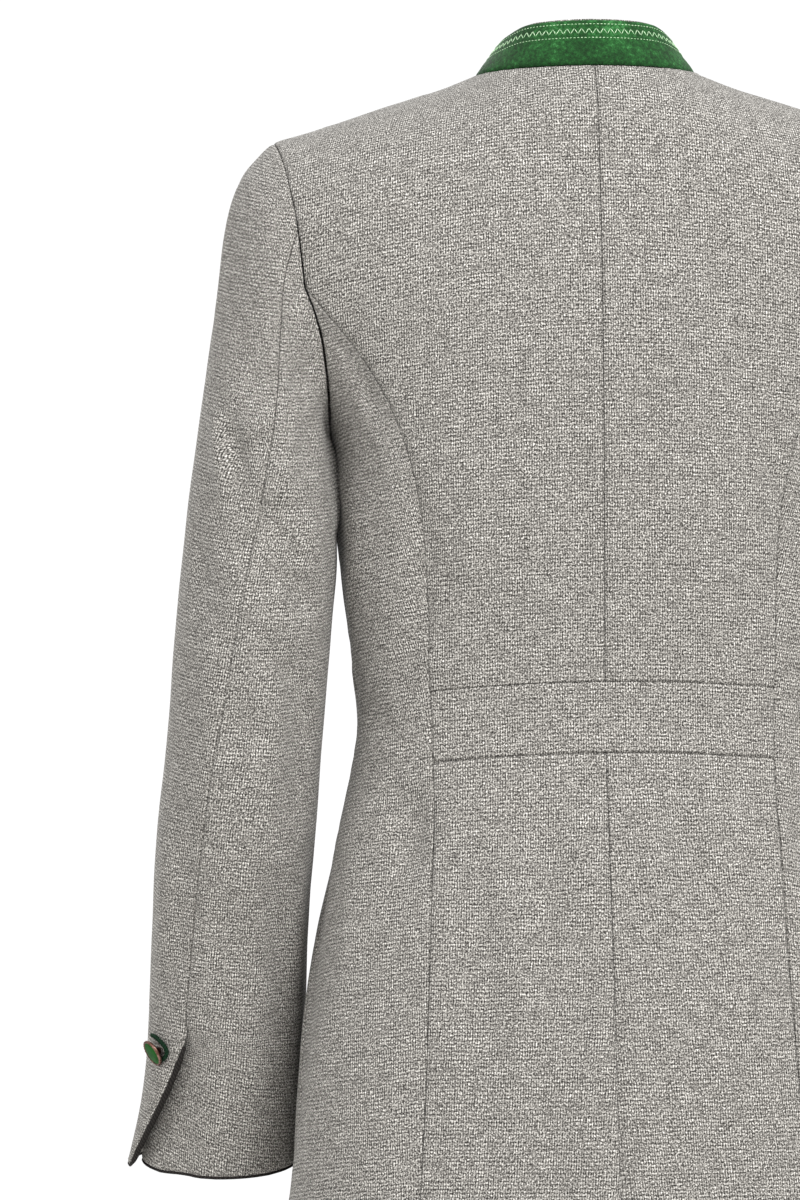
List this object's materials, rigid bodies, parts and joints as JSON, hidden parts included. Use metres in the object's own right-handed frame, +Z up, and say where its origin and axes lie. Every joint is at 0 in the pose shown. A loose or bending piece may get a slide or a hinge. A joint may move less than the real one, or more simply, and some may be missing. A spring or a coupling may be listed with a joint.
{
  "type": "trachten frock coat",
  "caption": "Fitted grey wool trachten frock coat with a green felt stand collar, princess seams, set-in back waist panel, back vent and slit cuffs, filled out as worn.",
  "frame": {"origin": "midway between the two points where the shoulder seams meet the collar", "axes": "+Z up along the standing coat, -Y out of its front, +X towards the wearer's left"},
  "size_m": [0.5662, 0.2658, 0.8988],
  "materials": {
    "wool": "light grey melange tweed, plain weave, matt",
    "felt": "green wool felt, matt, with pale stitching",
    "piping": "dark grey piping cloth",
    "cord": "dark green twisted cord",
    "button": "green enamelled face in a copper rim"
  },
  "bodies": {
    "root": {"back_left": "wool", "back_right": "wool", "skirt_back_left": "wool", "skirt_back_right": "wool", "side_back_left": "wool", "side_back_right": "wool", "side_front_left": "wool", "side_front_right": "wool", "front_left": "wool", "front_right": "wool", "top_sleeve_left": "wool", "top_sleeve_right": "wool", "under_sleeve_left": "wool", "under_sleeve_right": "wool", "waist_band": "wool", "collar_inner": "wool", "collar_outer": "felt", "top_piping_left": "piping", "top_piping_right": "piping", "under_piping_left": "piping", "under_piping_right": "piping", "cuff_loop_left": "cord", "cuff_loop_right": "cord", "cuff_button_left": "button", "cuff_button_right": "button", "front_button_1": "button", "front_button_2": "button", "front_button_3": "button", "front_button_4": "button", "front_button_5": "button", "front_button_6": "button"}
  },
  "joints": []
}
